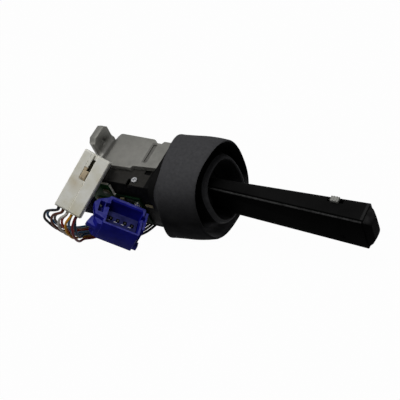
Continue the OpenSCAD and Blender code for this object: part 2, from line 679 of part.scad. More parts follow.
module lever_cover() at_lever() color("#111113") difference() {
    intersection() {
        lever_solid(lever_start, lever_reach, 0);
        cover_side(0);
    }
    lever_solid(lever_start - 1, lever_reach + 1, shell_t);
    bar_x(mouth_x, lever_reach + 1)
        polygon(round_rect(lever_w(mouth_x) - 2 * mouth_t, lever_h(mouth_x) - 2 * mouth_t, 1.2));
    dome_seat();
    rod_y(-20, 0, 1.2, screw_x, screw_z, small_fn);
    rod_y(-20, -lever_w(screw_x) / 2 + 1, 1.9, screw_x, screw_z, small_fn);
}

module shell_screw() at_lever() color("dimgrey") difference() {
    union() {
        rod_y(-lever_w(screw_x) / 2 + 1, 2, 0.9, screw_x, screw_z, small_fn);
        rod_y(-lever_w(screw_x) / 2 + 0.2, -lever_w(screw_x) / 2 + 1, 1.7, screw_x, screw_z, small_fn);
    }
    for (turn = [0, 90]) translate([screw_x, -lever_w(screw_x) / 2 + 0.2, screw_z]) rotate([0, turn, 0])
        cube([2.2, 0.8, 0.5], center = true);
}

module flash_springs() at_lever() color("lightgrey")
    for (side = [-1, 1]) translate([spring_x, side * 2.5, 0]) rotate([-90 * side, 0, 0])
        coil(1.8, 0.5, post_y - 2.5, 3);

// End button, its guide, spring and switch

skirt_back = lever_reach - 12;
guide_x = lever_reach - 25;
stem_r = 2;
head_w = lever_w(mouth_x) - 2 * mouth_t - 2 * gap;
head_h = lever_h(mouth_x) - 2 * mouth_t - 2 * gap;
skirt_w = lever_w(skirt_back - button_travel) - 2 * shell_t - 3 * gap;
skirt_h = lever_h(skirt_back - button_travel) - 2 * shell_t - 3 * gap;
guide_w = lever_w(guide_x) - shell_t - cover_depth - 2 * seat;

module button_guide() at_lever() color("#2f2f31") difference() {
    translate([0, (cover_depth - shell_t) / 2, 0])
        bar_x(guide_x, guide_x + 5) polygon(round_rect(guide_w, lever_h(guide_x) - 2 * shell_t - 2 * seat, 0.5));
    rod_x(guide_x - 1, guide_x + 6, stem_r + run);
    // The slide knob's foot runs over the guide
    box([guide_x - 1, -20, lever_h(guide_x) / 2 - shell_t - 3.4], [guide_x + 6, 20, 20]);
    box([guide_x - 1, -20, screw_z - 3], [guide_x + 6, -3, screw_z + 3]);
}

switch_pin = lever_w(guide_x - 13) / 2 - shell_t - seat;
module push_switch() at_lever() color("#7d2320") difference() {
    box([guide_x - 17, -4.4, -6], [guide_x - 4 - button_travel - gap, 5, 6]);
    rod_y(-switch_pin, switch_pin, 1, guide_x - 13, 3.4, small_fn);
    rod_y(-switch_pin, switch_pin, 1, guide_x - 13, -3.4, small_fn);
}

module end_button() at_lever() color("#1a1a1c") {
    hull() {
        bar_x(lever_reach - 1, lever_reach + 0.4) polygon(round_rect(head_w, head_h, 1.2));
        bar_x(lever_reach + button_proud * 0.55, lever_reach + button_proud * 0.56)
            polygon(round_rect(head_w - 2, head_h - 2.4, 2.2));
        bar_x(lever_reach + button_proud - 0.01, lever_reach + button_proud)
            polygon(round_rect(head_w - 6.4, head_h - 9, 2.6));
    }
    difference() {
        bar_x(skirt_back, lever_reach - 0.5) polygon(round_rect(skirt_w, skirt_h, 1));
        bar_x(skirt_back - 1, lever_reach - 2.5) polygon(round_rect(skirt_w - 2.4, skirt_h - 2.4, 0.6));
        // Room for the screw boss when the button is pressed
        box([skirt_back - 1, -20, screw_z - 3.4], [screw_x + 2.4 + button_travel + gap, 20, screw_z + 3.4]);
    }
    rod_x(guide_x - 4, lever_reach - 2, stem_r);
}

module button_spring() at_lever() color("lightgrey")
    translate([guide_x + 5, 0, 0]) rotate([0, 90, 0]) coil(3, 0.6, lever_reach - 2.5 - guide_x - 5, 6);

module slide_knob() at_lever() color("#b9b9b4") {
    top = lever_h(knob_x) / 2;
    difference() {
        box([knob_x - knob_l / 2, knob_y - knob_w / 2, top + gap], [knob_x + knob_l / 2, knob_y + knob_w / 2, top + knob_h]);
        for (i = [-1 : 1]) rod_y(knob_y - knob_w, knob_y + knob_w, 0.7, knob_x + 2.1 * i, top + knob_h + 0.2, small_fn);
    }
    box([knob_x - knob_l / 2 + 1, knob_y - knob_w / 2 + 1, top - 3.2], [knob_x + knob_l / 2 - 1, knob_y + knob_w / 2 - 1, top + 1]);
}

// White plug

white_turn = [30, 34, 0];
white_mid = [-69.4, -31.8, 26];
white_cell = 3.7;
white_row = 4.4;
latch_l = 17;
latch_w = 7;

module at_white() at_pivot() translate(white_mid) rotate(white_turn) children();

module white_plug_body() at_white() color("#e9e6dc") difference() {
    union() {
        rotate([90, 0, 0]) linear_extrude(white_l, center = true) polygon(round_rect(white_w, white_t, 1));
        // Rib along the right side and the latch's two guard walls
        box([white_w / 2 - 8, -white_l / 2, white_t / 2 - 1], [white_w / 2 - 4.5, white_l / 2 - 1.5, white_t / 2 + 1.6]);
        box([-white_w / 2 + 1, -white_l / 2 + 12, white_t / 2 - 1], [-white_w / 2 + 2.6, white_l / 2 - 3, white_t / 2 + 1.4]);
    }
    // Seat of the latch
    box([-latch_w / 2 - 1, white_l / 2 - latch_l - 4, white_t / 2 - 1.4],
        [latch_w / 2 - 0.6, white_l / 2 - 4, white_t / 2 + 3]);
    // Terminal cells, open at the mating end
    for (row = [-0.5, 0.5], i = [-2 : 2])
        box([i * white_cell - 1.3, white_l / 2 - 12, row * white_row - 1.1], [i * white_cell + 1.3, white_l / 2 + 1, row * white_row + 1.1]);
}

module white_plug_latch() at_white() color("#d8c39a") difference() {
    box([-latch_w / 2 - 0.7, white_l / 2 - latch_l - 3.7, white_t / 2 - 1.4],
        [latch_w / 2 - 0.9, white_l / 2 - 4.3, white_t / 2 + 0.8]);
    // The arm is free of the plug past its root
    box([-latch_w, white_l / 2 - latch_l, white_t / 2 - 2], [latch_w, white_l / 2, white_t / 2 - 0.8]);
    translate([0, white_l / 2 - 7, white_t / 2 + 1.6]) rotate([-18, 0, 0]) cube([20, 12, 1.6], center = true);
}

module white_plug_terminals() at_white() color("goldenrod")
    for (row = [-0.5, 0.5], i = [-2 : 2])
        box([i * white_cell - 1, white_l / 2 - 12, row * white_row - 0.8], [i * white_cell + 1, white_l / 2 - 2, row * white_row + 0.8]);

// Blue socket

blue_turn = [-6, 39, 15];
blue_mid = [-44.1, -40.1, -3.4];
blue_wall = 1.5;
blue_floor = 5;
blue_seat = 6.2;
blue_block = 7;

module at_blue() at_pivot() translate(blue_mid) rotate(blue_turn) children();

module blue_socket_shroud() at_blue() color("#2b2f9c") difference() {
    union() {
        translate([0, 0, -blue_h / 2]) linear_extrude(blue_h) polygon(round_rect(blue_w, blue_d, 0.8));
        // Latch block on the left end: a foot, a lip around the top with a pocket in it, and a wedge
        translate([-blue_w / 2, 0, -blue_h / 2]) linear_extrude(blue_h - 4) polygon([
            [1, -blue_d / 2 + 0.5], [-3, -blue_d / 2 + 0.9], [1 - blue_block, -8], [0.5 - blue_block, 4], [1, blue_d / 2 - 4]]);
        translate([-blue_w / 2, 0, blue_h / 2 - 5.6]) linear_extrude(5) polygon([
            [1, -9], [-blue_block, -7], [-blue_block - 3, 2.5], [-blue_block - 0.5, 6.8], [1, blue_d / 2 - 0.5]]);
        translate([-blue_w / 2 - 3, -4, -3]) linear_extrude(3.6) polygon([[0, -8], [-7.4, -6.5], [-5, 0.5], [0, 5]]);
        // Guide rail on the right end
        box([blue_w / 2 - 0.5, -5, -blue_h / 2 + 2], [blue_w / 2 + 2.8, blue_d / 2 - 1.5, blue_h / 2 - 1.5]);
        box([blue_w / 2 - 0.5, -blue_d / 2 + 2, -blue_h / 2], [blue_w / 2 + 3.4, -blue_d / 2 + 6, -blue_h / 2 + 5]);
    }
    // The socket, its far wall thicker, with a lead-in along the top
    translate([0, -0.8, -blue_h / 2 + blue_floor]) linear_extrude(blue_h)
        polygon(round_rect(blue_w - 2 * blue_wall, blue_d - 2 * blue_wall - 1.6, 0.5));
    translate([0, blue_d / 2 - 4.4, blue_h / 2]) rotate([45, 0, 0]) cube([blue_w - 2 * blue_wall - 1, 3.4, 3.4], center = true);
    // Slots for the mating plug's latch and ribs
    for (side = [-1, 1]) translate([side * (blue_w / 2 - 1), 4, blue_h / 2]) cube([5, 4, 11], center = true);
    translate([-blue_w / 2 - 4, 1, blue_h / 2 - 3]) cube([4, 10, 9], center = true);
    for (i = [-1.5 : 1.5]) translate([i * blue_pitch, 0, -blue_h / 2]) cube([2.4, 3, 14], center = true);
}

module blue_socket_insert() at_blue() color("#9aa0b8") difference() {
    translate([0, -0.8, -blue_h / 2 + blue_floor]) linear_extrude(blue_seat)
        polygon(round_rect(blue_w - 2 * blue_wall - 1.2, 15, 0.6));
    for (i = [-1.5 : 1.5]) translate([i * blue_pitch, 0, -blue_h / 2 + blue_floor + 3.4]) cube([2.8, 3.2, 8], center = true);
    // A notch in front of each contact
    for (i = [-1.5 : 1.5]) translate([i * blue_pitch - 1, -5.4, -blue_h / 2 + blue_floor + blue_seat]) cube([3.4, 1.6, 3], center = true);
    for (i = [-1.5 : 1.5]) box([i * blue_pitch - 0.6, -1, -blue_h / 2 + blue_floor - 1], [i * blue_pitch + 0.6, 1, -blue_h / 2 + blue_floor + 1]);
}

module blue_socket_pins() at_blue() color("silver")
    for (i = [-1.5 : 1.5]) box([i * blue_pitch - 0.4, -0.8, -blue_h / 2 - 0.4 + 2.4], [i * blue_pitch + 0.4, 0.8, blue_h / 2 - 8]);

// Leads. Each starts on its plug's face. Then each row has one route for its first lead and a step
// to the next one, point by point.

function spin_x(v, a) = [v[0], v[1] * cos(a) - v[2] * sin(a), v[1] * sin(a) + v[2] * cos(a)];
function spin_y(v, a) = [v[0] * cos(a) + v[2] * sin(a), v[1], v[2] * cos(a) - v[0] * sin(a)];
function spin_z(v, a) = [v[0] * cos(a) - v[1] * sin(a), v[0] * sin(a) + v[1] * cos(a), v[2]];
function placed(v, mid, turn) = mid + spin_z(spin_y(spin_x(v, turn[0]), turn[1]), turn[2]);

white_end = holder_face;
white_route = [
    [[-91, -57, 19], [-95, -59, 13], [-95, -58.5, 6], [-92.5, -57, -3], [-89, -53, -10.5], [-84, -47.5, -17],
     [-78, -39.5, -21.2], [-73, -29, -21.5], [-72.2, white_end - 2, -21.5], [-72.2, white_end, -21.5]],
    [[-91, -54.5, 16.5], [-95, -55.5, 11.5], [-95, -55, 5.5], [-92.5, -54.3, -1.5], [-89, -50.8, -7.5], [-84, -45.5, -13.5],
     [-78, -37.5, -17.8], [-73, -28.5, -18], [-72.2, white_end - 2, -18], [-72.2, white_end, -18]]];
white_step = [[4.75, -0.5, -3], [5.5, -0.5, -3.25], [5.3, -0.5, -3], [4.4, -0.25, -2.2], [3.5, 0, -1.2],
    [3.25, 0, -0.6], [3, 0, -0.25], [3, 0, 0], [3, 0, 0], [3, 0, 0]];
blue_route = [[-58.5, -42, -13], [-58.5, -39, -18.5], [-55, -33.5, -25], [-49.5, -26.5, -29], [-44.8, -19, -29.7],
    [-43.2, clamp_face - 2.5, -29.7], [-43.2, clamp_face, -29.7]];
blue_step = [[4.2, 0.9, -3.3], [4, 0.6, -2.4], [3.8, 0, -0.8], [3.4, 0, -0.2], [3.1, 0, 0], [3, 0, 0], [3, 0, 0]];

function white_start(row, i, out) =
    placed([(i - 2) * white_cell, -white_l / 2 - out, (0.5 - row) * white_row], white_mid, white_turn);
function blue_start(i, out) = placed([(i - 1.5) * blue_pitch, 0, -blue_h / 2 - out], blue_mid, blue_turn);
function white_points(row, i) = concat([white_start(row, i, 0), white_start(row, i, 3)],
    [for (k = [0 : len(white_step) - 1]) white_route[row][k] + i * white_step[k]]);
function blue_points(i) = concat([blue_start(i, 0), blue_start(i, 2.5)],
    [for (k = [0 : len(blue_step) - 1]) blue_route[k] + i * blue_step[k]]);

module white_lead(row, i, tint) at_pivot() color(tint) tube_along(white_points(row, i), lead_d);
module blue_lead(i, tint) at_pivot() color(tint) tube_along(blue_points(i), lead_d);

module white_lead_01() white_lead(0, 0, "#25282e");
module white_lead_02() white_lead(0, 1, "#7a4a3a");
module white_lead_03() white_lead(0, 2, "#d9d6cf");
module white_lead_04() white_lead(0, 3, "#e2b64a");
module white_lead_05() white_lead(0, 4, "#9cb9cc");
module white_lead_06() white_lead(1, 0, "#1f5f9e");
module white_lead_07() white_lead(1, 1, "#7d7a74");
module white_lead_08() white_lead(1, 2, "#c9441f");
module white_lead_09() white_lead(1, 3, "#a5182a");
module white_lead_10() white_lead(1, 4, "#123f52");
module blue_lead_01() blue_lead(0, "#3b1a1c");
module blue_lead_02() blue_lead(1, "#151517");
module blue_lead_03() blue_lead(2, "#5a5146");
module blue_lead_04() blue_lead(3, "#151517");

mounting_bracket();
bracket_flange();
bracket_screws();
housing_body();
housing_cover();
cover_screws();
housing_screw();
circuit_board();
board_parts();
board_screws();
contact_plate();
contact_strips();
detent_cam();
boot_clamp_ring();
rubber_boot();
boot_cuff();
lead_holder();
lower_lead_clamp();
white_plug_body();
white_plug_latch();
white_plug_terminals();
blue_socket_shroud();
blue_socket_insert();
blue_socket_pins();
white_lead_01();
white_lead_02();
white_lead_03();
white_lead_04();
white_lead_05();
white_lead_06();
white_lead_07();
white_lead_08();
white_lead_09();
white_lead_10();
blue_lead_01();
blue_lead_02();
blue_lead_03();
blue_lead_04();
turn_yoke();
flash_pin();
turn_wiper();
plunger_spring();
detent_plunger();
lever_core();
lever_dome();
lever_shell();
lever_cover();
shell_screw();
flash_springs();
button_guide();
push_switch();
end_button();
button_spring();
slide_knob();
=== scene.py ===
import bpy, bmesh, math
from itertools import product
from mathutils import Matrix, Vector


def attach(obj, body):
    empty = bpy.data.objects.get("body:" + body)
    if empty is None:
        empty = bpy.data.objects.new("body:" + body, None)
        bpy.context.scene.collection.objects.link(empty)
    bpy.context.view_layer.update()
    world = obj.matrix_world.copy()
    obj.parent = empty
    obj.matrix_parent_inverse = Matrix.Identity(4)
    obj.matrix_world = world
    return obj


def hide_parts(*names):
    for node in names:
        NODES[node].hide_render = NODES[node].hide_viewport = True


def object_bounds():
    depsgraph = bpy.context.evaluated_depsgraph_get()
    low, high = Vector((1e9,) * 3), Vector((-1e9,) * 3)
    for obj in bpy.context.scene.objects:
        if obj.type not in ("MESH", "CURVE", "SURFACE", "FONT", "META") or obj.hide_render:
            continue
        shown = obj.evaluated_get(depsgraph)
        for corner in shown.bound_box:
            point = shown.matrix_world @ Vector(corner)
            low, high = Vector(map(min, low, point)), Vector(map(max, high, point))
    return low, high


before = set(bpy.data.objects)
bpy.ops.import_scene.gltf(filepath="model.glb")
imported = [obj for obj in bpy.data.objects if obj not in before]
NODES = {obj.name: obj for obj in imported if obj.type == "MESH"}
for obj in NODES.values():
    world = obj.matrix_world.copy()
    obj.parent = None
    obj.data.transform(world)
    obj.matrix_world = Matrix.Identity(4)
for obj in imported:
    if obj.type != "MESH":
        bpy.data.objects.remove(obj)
cad_lo, cad_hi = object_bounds()
scene = bpy.context.scene

PIVOT = Vector((0.081, -0.0105, -0.0225))
mm = 0.001


def at(x, y, z):
    """A point given in millimetres from the lever's pivot, in the row frame."""
    return PIVOT + Vector((x, y, z)) * mm


# Camera: the photograph's angle, with its roll

RIGHT = Vector((0.8543, 0.4312, -0.2902))
UP = Vector((-0.1715, 0.761, 0.6257))
BACKWARD = Vector((0.4907, -0.4848, 0.724))
AIM, DISTANCE = at(24, 1, 3), 0.7799
LENS, SENSOR, SHIFT, CLIP = 98.27, 36, (-0.055, -0.022), (0.01, 20)

camera = bpy.data.objects.new("camera", bpy.data.cameras.new("camera"))
scene.collection.objects.link(camera)
camera.data.lens = LENS
camera.data.sensor_width = SENSOR
camera.data.shift_x, camera.data.shift_y = SHIFT
camera.data.clip_start, camera.data.clip_end = CLIP
view_axes = Matrix((RIGHT, UP, BACKWARD)).transposed().to_4x4()
camera.matrix_world = Matrix.Translation(AIM + BACKWARD.normalized() * DISTANCE) @ view_axes
scene.camera = camera

# The white plug and the blue socket: centre in millimetres from the pivot, turns in degrees about X, Y and Z,
# and sizes in millimetres

PLUG = (-69.4, -31.8, 26.0), (30, 34, 0)
PLUG_LENGTH, CELL, ROW = 46, 3.7, 4.4
SOCKET = (-44.1, -40.1, -3.4), (-6, 39, 15)
SOCKET_HEIGHT, PITCH = 19.5, 5.5


def turned(v, turns):
    """A vector of a plug's own axes, turned into the row frame."""
    r = [Matrix.Rotation(math.radians(a), 3, k) for a, k in zip(turns, "XYZ")]
    return r[2] @ r[1] @ r[0] @ Vector(v)


def placed(v, centre, turns):
    """A point of a plug's own axes, in millimetres from the pivot."""
    return Vector(centre) + turned(v, turns)


def catmull(a, b, c, d, t):
    """The smooth curve from b to c, where a comes before and d after. It takes numbers and vectors."""
    square, cube = 2 * a - 5 * b + 4 * c - d, 3 * b - a - 3 * c + d
    return 0.5 * (2 * b + (c - a) * t + square * t * t + cube * t ** 3)


# Materials

FAR = 999  # an area's side at this distance is open


def lin(c):
    """A channel from 0 to 255, made linear."""
    c /= 255
    return c / 12.92 if c <= 0.04045 else ((c + 0.055) / 1.055) ** 2.4


def rgb(text):
    """A colour written as #rrggbb, made linear."""
    return tuple(lin(int(text[i:i + 2], 16)) for i in (1, 3, 5)) + (1,)


class Nodes:
    """A material's nodes, wired one line at a time."""

    def __init__(self, name):
        self.m = bpy.data.materials.new(name)
        self.m.use_nodes = True
        self.t = self.m.node_tree
        self.b = self.t.nodes["Principled BSDF"]
        self.coord = self.t.nodes.new("ShaderNodeTexCoord").outputs["Object"]

    def new(self, kind, **values):
        """A node, with its inputs and settings given by name."""
        n = self.t.nodes.new(kind)
        for k, v in values.items():
            if k in n.inputs:
                n.inputs[k].default_value = v
            else:
                setattr(n, k, v)
        return n

    def link(self, a, b):
        self.t.links.new(a, b)

    def feed(self, value, socket):
        """Link a socket, or set a constant."""
        if isinstance(value, bpy.types.NodeSocket):
            self.link(value, socket)
        else:
            socket.default_value = value

    def noise(self, scale, detail=4, rough=0.6):
        n = self.new("ShaderNodeTexNoise", Scale=scale, Detail=detail, Roughness=rough)
        self.link(self.coord, n.inputs["Vector"])
        return n.outputs["Fac"]

    def span(self, src, a, b, lo, hi):
        """Map a to b onto lo to hi, held at both ends."""
        n = self.new("ShaderNodeMapRange")
        for k, v in (("From Min", a), ("From Max", b), ("To Min", lo), ("To Max", hi)):
            n.inputs[k].default_value = v
        self.link(src, n.inputs["Value"])
        return n.outputs["Result"]

    def mix(self, fac, a, b):
        n = self.new("ShaderNodeMix", data_type="RGBA")
        for s, v in ((n.inputs[0], fac), (n.inputs[6], a), (n.inputs[7], b)):
            self.feed(v, s)
        return n.outputs[2]

    def times(self, a, b):
        n = self.new("ShaderNodeMath", operation="MULTIPLY")
        self.link(a, n.inputs[0])
        self.link(b, n.inputs[1])
        return n.outputs[0]

    def area(self, lo, hi, soft):
        """1 inside a box given in millimetres from the lever's pivot, 0 outside it, with soft sides."""
        axes = self.new("ShaderNodeSeparateXYZ")
        self.link(self.coord, axes.inputs[0])
        out = None
        for k in range(3):
            for side, rise in ((lo[k], 1), (hi[k], 0)):
                if abs(side) >= FAR:
                    continue
                c = PIVOT[k] + side * mm
                step = self.span(axes.outputs[k], c - soft * mm / 2, c + soft * mm / 2, 1 - rise, rise)
                out = self.times(out, step) if out else step
        return out

    def facing(self, way, lo, hi):
        """1 where the surface faces one way, 0 where it turns from it."""
        dot = self.new("ShaderNodeVectorMath", operation="DOT_PRODUCT")
        self.link(self.coord.node.outputs["Normal"], dot.inputs[0])
        dot.inputs[1].default_value = Vector(way).normalized()
        return self.span(dot.outputs["Value"], lo, hi, 0, 1)

    def bump(self, src, strength, distance):
        n = self.new("ShaderNodeBump", Strength=strength, Distance=distance)
        self.link(src, n.inputs["Height"])
        return n.outputs["Normal"]


def skin(name, low, high, rough=(0.4, 0.55), metal=0.0, patch=60, grain=1800, depth=0.00004, strength=0.5,
         mottle=0.0, dust=None, dust_at=(0.5, 0.75), spec=0.5, areas=(), edge=None):
    """Two near tones in soft patches, with fine grain in the surface.

    Optional: mottle, and dust in blotches. Each of the areas, mostly painted light and shade, is a tone, its
    weight, a box's two corners and how soft its sides are. The edge is a painted highlight: a tone, the way
    its faces look, and where it begins and is full.
    """
    n = Nodes(name)
    b = n.b
    b.inputs["Metallic"].default_value = metal
    b.inputs["Specular IOR Level"].default_value = spec
    colour = n.mix(n.span(n.noise(patch, 5, 0.62), 0.35, 0.65, 0, 1), rgb(low), rgb(high))
    if mottle:
        fine = n.noise(patch * 9, 3, 0.7)
        colour = n.mix(n.span(fine, 0.4, 0.7, 0, mottle), colour, rgb(high))
    if dust:
        blotches = n.noise(patch * 0.7, 8, 0.72)
        colour = n.mix(n.span(blotches, dust_at[0], dust_at[1], 0, 0.8), colour, rgb(dust))
    # Most areas, and the edge, are painted light and shade, broken into patches by noise
    for tone, weight, lo, hi, soft in areas:
        patchiness = n.span(n.noise(420, 3), 0.3, 0.7, 0.75 * weight, weight)
        colour = n.mix(n.times(n.area(lo, hi, soft), patchiness), colour, rgb(tone))
    if edge:
        patchiness = n.span(n.noise(260, 3), 0.35, 0.62, 0.45, 1)
        colour = n.mix(n.times(n.facing(*edge[1:]), patchiness), colour, rgb(edge[0]))
    n.link(colour, b.inputs["Base Color"])
    n.link(n.span(n.noise(patch * 2.3, 4), 0.3, 0.7, rough[0], rough[1]), b.inputs["Roughness"])
    n.link(n.bump(n.noise(grain, 3, 0.6), strength, depth), b.inputs["Normal"])
    return n.m


# What surfaces of one kind share

METAL = dict(metal=1.0, patch=200, grain=2500, depth=0.00002)
LEVER = dict(patch=40, grain=2600, depth=0.00002, strength=0.35)
RUBBER = dict(patch=35, grain=1400, depth=0.00008, strength=0.6)
MOULDED = dict(patch=200, grain=1500, depth=0.00003)

# Areas of painted light and shade, and a few real tones: tone, weight, the box's corners, softness

BRACKET_LIGHT_AND_SHADE = (
    ("#3a3936", 0.9, (-77.7, -FAR, 10), (-67, 30, 23.2), 2.4),        # painted shade in the fold behind the lug
    ("#8b8a84", 0.7, (-79.2, -FAR, 24), (-77.9, FAR, 40), 3),         # painted highlight along the lug's edge
    ("#8d8c86", 0.9, (-90, -FAR, 12), (-76, 3.2, 40), 1),             # painted light on the lug's near end
    ("#3f3e3a", 0.9, (-36.4, -2, 20), (-32.4, 17.2, 30), 0.7),        # painted shade in the groove
)
# The ledge's top, painted lighter as light falls on it from above
LEDGE_PAINTED_LIGHT = (("#2e2d2b", 0.95, (-70, -FAR, 18.6), (-25.7, -2.5, 30), 0.6),)
# A lighter band painted on the top of the lever's end, as a painted highlight
LEVER_END_PAINTED_LIGHT = (("#2e2e2e", 0.8, (136.5, -FAR, 0), (FAR, FAR, FAR), 0.8),)
# The boot's top, painted lighter as lit from above, fading over its soft side
RUBBER_LIT_TOP = (("#474749", 0.9, (-FAR, -FAR, 17), (FAR, FAR, FAR), 30),)
LIT_VALLEY = (("#58585a", 0.9, (8, -FAR, -FAR), (FAR, FAR, -16), 10),)
BOARD_AREAS = (
    ("#e4e2d8", 1, (-FAR, -FAR, 15.5), (FAR, FAR, FAR), 0.2),         # pale top edge
    ("#e4e2d8", 1, (-57.5, -FAR, 4), (-56, FAR, FAR), 0.2),           # pale side edge
    ("#05070c", 0.9, (-56, -FAR, -FAR), (FAR, FAR, FAR), 1),          # the rest, in shade
)
PLUG_SMUDGE = (("#a8926a", 0.4, (-75, -41, 26), (-67, -33, 38), 7),)
# Painted highlights on faces that turn one way: tone, that way, where it begins and where it is full. The
# lever's is along its near top edge
LEVER_EDGE_HIGHLIGHT = ("#3e3e3e", (0, -0.6, 0.8), 0.93, 0.99)
# painted highlight on the end cap's upper slope
CAP_EDGE_HIGHLIGHT = ("#2c2c2c", (0.75, -0.15, 0.64), 0.75, 0.95)
# painted light on the socket's upward faces
SOCKET_RIM_HIGHLIGHT = ("#45478c", turned((0, 0, 1), SOCKET[1]), 0.93, 0.98)

M = {
    "cast": skin("cast_grey", "#5d5d58", "#6f6e69", (0.5, 0.68), 0.25, 45, 1500, 0.00012, 0.6, mottle=0.3,
                 dust="#7c7b76", areas=BRACKET_LIGHT_AND_SHADE),
    "steel": skin("plated_steel", "#b5b5b2", "#d8d8d4", (0.22, 0.4), **METAL),
    "dull": skin("dull_steel", "#39393a", "#4c4c4c", (0.45, 0.6), **METAL | {"metal": 0.6}),
    "wire": skin("spring_wire", "#77787a", "#a2a3a5", (0.25, 0.4), **METAL | {"patch": 300}),
    "brass": skin("brass", "#b98d3a", "#dcb45c", (0.22, 0.4), **METAL),
    "housing": skin("housing_black", "#050505", "#0b0b0b", (0.5, 0.65), 0, 60, 1600, 0.00006, 0.6, spec=0.03,
                    areas=LEDGE_PAINTED_LIGHT),
    "lever": skin("lever_black", "#0b0b0b", "#121212", (0.4, 0.5), **LEVER, spec=0.01, areas=LEVER_END_PAINTED_LIGHT,
                  edge=LEVER_EDGE_HIGHLIGHT),
    "cap": skin("cap_black", "#060606", "#0b0b0b", (0.5, 0.6), **LEVER, spec=0.004, edge=CAP_EDGE_HIGHLIGHT),
    # The lever's near face: a darker copy of the lever's black, painted shade
    "cover": skin("lever_near_face_shade", "#020202", "#060606", (0.4, 0.5), **LEVER, spec=0.002, edge=LEVER_EDGE_HIGHLIGHT),
    "inner": skin("inner_dark", "#1b1b1d", "#28282b", (0.45, 0.6), 0, 60, 1600, 0.00004),
    "rubber": skin("boot_rubber", "#09090a", "#101011", (0.62, 0.85), **RUBBER, mottle=0.35, dust="#262628",
                   dust_at=(0.5, 0.8), spec=0.015, areas=RUBBER_LIT_TOP),
    # Copies of the boot's rubber with painted light and shade: the funnel's a mid tone, the deep one darker
    # as shade inside the boot, the cuff's lighter as light on the crest
    "funnel": skin("funnel_rubber", "#141415", "#1e1e1f", (0.6, 0.8), **RUBBER, spec=0.02),
    "deep": skin("deep_shade_rubber", "#050505", "#0a0a0a", (0.7, 0.9), **RUBBER, spec=0.01, areas=LIT_VALLEY),
    "cuff": skin("cuff_lit_rubber", "#252527", "#303032", (0.55, 0.75), **RUBBER, mottle=0.3, dust="#505052",
                 dust_at=(0.5, 0.8), spec=0.05),
    "natural": skin("natural_acetal", "#d8d2c2", "#ece8dc", (0.35, 0.5), 0, 80, 1500, 0.00003),
    "board": skin("board_green", "#163a1b", "#1e4a25", (0.3, 0.42), 0, 120, 900, 0.00008, 0.6, mottle=0.2,
                  spec=0.02, areas=BOARD_AREAS),
    "cream": skin("component_cream", "#565040", "#6b6452", (0.4, 0.5), **MOULDED, spec=0.1),
    "base": skin("contact_base", "#57351c", "#6d4526", (0.5, 0.6), 0, 150, 1500, 0.00003),
    "white": skin("plug_white", "#c2bda6", "#d9d9d3", (0.3, 0.42), 0, 48, 1200, 0.00004, 0.5, mottle=0.3,
                  spec=0.2, areas=PLUG_SMUDGE),
    "tan": skin("latch_tan", "#a3937a", "#bbad92", (0.4, 0.5), **MOULDED, spec=0.1),
    # The latch slot's floor: dark olive, painted shade inside the slot
    "olive": skin("slot_shade_olive", "#211f16", "#2f2c20", (0.5, 0.6), **MOULDED, spec=0.05),
    "blue": skin("plug_blue", "#0f1164", "#181b80", (0.4, 0.52), 0, 90, 1500, 0.00004, 0.5, mottle=0.2,
                 spec=0.03, edge=SOCKET_RIM_HIGHLIGHT),
    "insert": skin("insert_grey", "#1e2048", "#2e3060", (0.4, 0.5), **MOULDED, spec=0.05),
    "red": skin("switch_red", "#5c1d1a", "#722723", (0.45, 0.6), 0, 100, 1500, 0.00003),
    "knob": skin("knob_grey", "#7f7f7b", "#94948f", (0.4, 0.5), 0, 150, 1500, 0.00004, spec=0.1),
    "glint": skin("glint_grey", "#a9a9b4", "#c4c4cc", (0.3, 0.4), **MOULDED, spec=0.2),
    "loom": skin("loom_wrap", "#0d0d18", "#1b1b33", (0.5, 0.6), 0, 300, 1200, 0.0001, 0.8, mottle=0.4,
                 spec=0.05),
}

# Which material each solid wears, and how wide its eased edges are in millimetres. The leads, the boot, the
# cuff and the plug's latch are replaced below.

USES = {
    "cast": "mounting_bracket bracket_flange",
    "steel": "bracket_screws cover_screws board_screws flash_pin detent_plunger",
    "dull": "blue_socket_pins",
    "wire": "plunger_spring flash_springs button_spring housing_screw",
    "brass": "contact_strips turn_wiper white_plug_terminals",
    "housing": "housing_body housing_cover boot_clamp_ring lead_holder lower_lead_clamp",
    "lever": "lever_dome lever_shell",
    "cover": "lever_cover",
    "cap": "end_button shell_screw",
    "inner": "lever_core button_guide",
    "natural": "turn_yoke detent_cam",
    "board": "circuit_board",
    "cream": "board_parts",
    "base": "contact_plate",
    "white": "white_plug_body",
    "blue": "blue_socket_shroud",
    "insert": "blue_socket_insert",
    "red": "push_switch",
    "knob": "slide_knob",
}
BEVEL = {
    "mounting_bracket": 0.5, "bracket_flange": 0.4, "housing_body": 0.4, "housing_cover": 0.4,
    "white_plug_body": 0.35, "blue_socket_shroud": 0.3, "blue_socket_insert": 0.2, "slide_knob": 0.3,
    "circuit_board": 0.15, "lead_holder": 0.3, "lower_lead_clamp": 0.4, "housing_screw": 0.2,
    "bracket_screws": 0.3, "board_parts": 0.15, "boot_clamp_ring": 0.3,
}
BEVEL_ANGLE, SOLID_ANGLE, BLOCK_ANGLE, LOFT_ANGLE = 35, 32, 30, 50
WELD = 2e-6


def sharp_by_angle(o, degrees):
    """Edges sharper than the angle stay sharp, on the mesh as the other modifiers leave it."""
    e = o.modifiers.new("edges", "EDGE_SPLIT")
    e.split_angle = math.radians(degrees)
    e.use_edge_sharp = False


